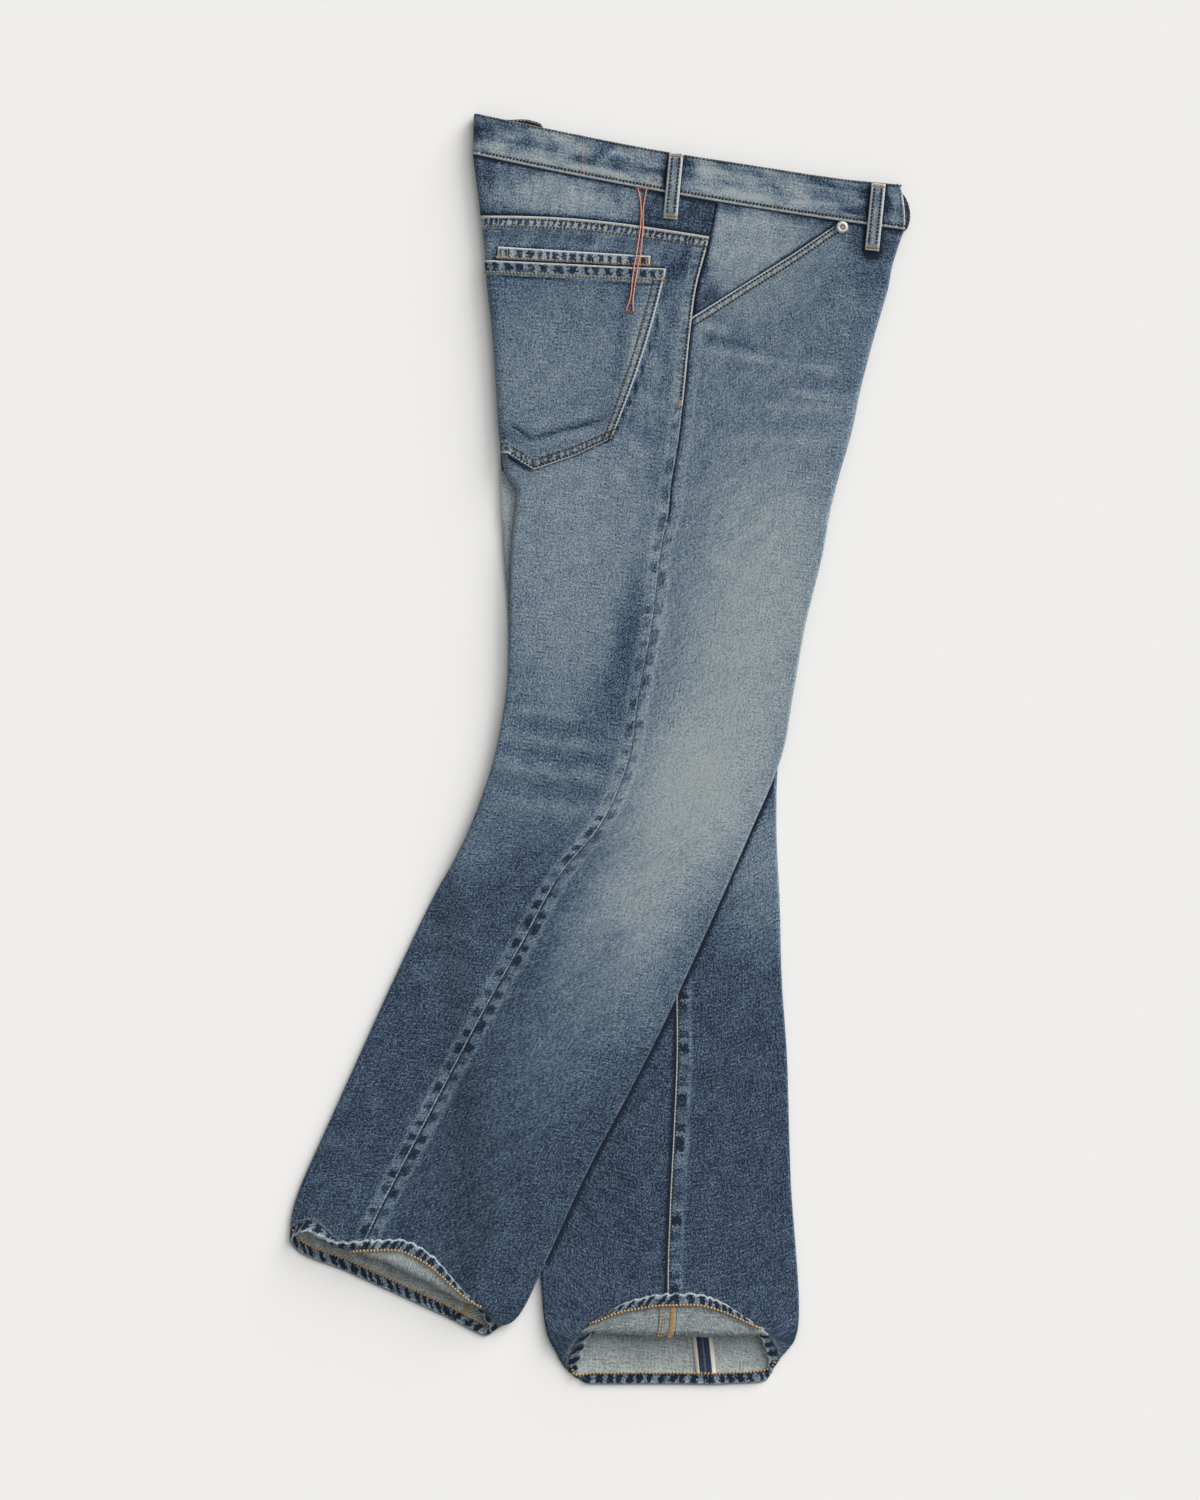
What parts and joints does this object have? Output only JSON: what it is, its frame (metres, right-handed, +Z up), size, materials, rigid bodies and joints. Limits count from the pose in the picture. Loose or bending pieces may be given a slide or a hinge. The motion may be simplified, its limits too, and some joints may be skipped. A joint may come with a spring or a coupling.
{
  "type": "regular-fit jeans laid flat",
  "caption": "Pair of faded denim jeans laid flat on one side, the upper leg bent back at the knee and crossed over the lower one, hems open.",
  "frame": {"origin": "middle of the jeans' outline, on the surface they lie on", "axes": "+Y towards the waist, +X towards the front of the body, +Z up out of the surface"},
  "size_m": [0.5897, 1.2096, 0.017],
  "materials": {
    "denim": "washed twill, faded on the thighs and knees",
    "plated_metal": "worn nickel",
    "coral_thread": "matt twisted thread"
  },
  "bodies": {
    "root": {"right_front_panel": "denim", "right_back_panel": "denim", "left_front_panel": "denim", "left_back_panel": "denim", "right_yoke": "denim", "left_yoke": "denim", "waistband": "denim", "right_pocket_facing": "denim", "right_back_pocket": "denim", "right_pocket_strip": "denim", "belt_loop_side": "denim", "belt_loop_front": "denim", "pocket_rivet": "plated_metal", "loose_thread_back": "coral_thread", "loose_thread_front": "coral_thread"}
  },
  "joints": []
}
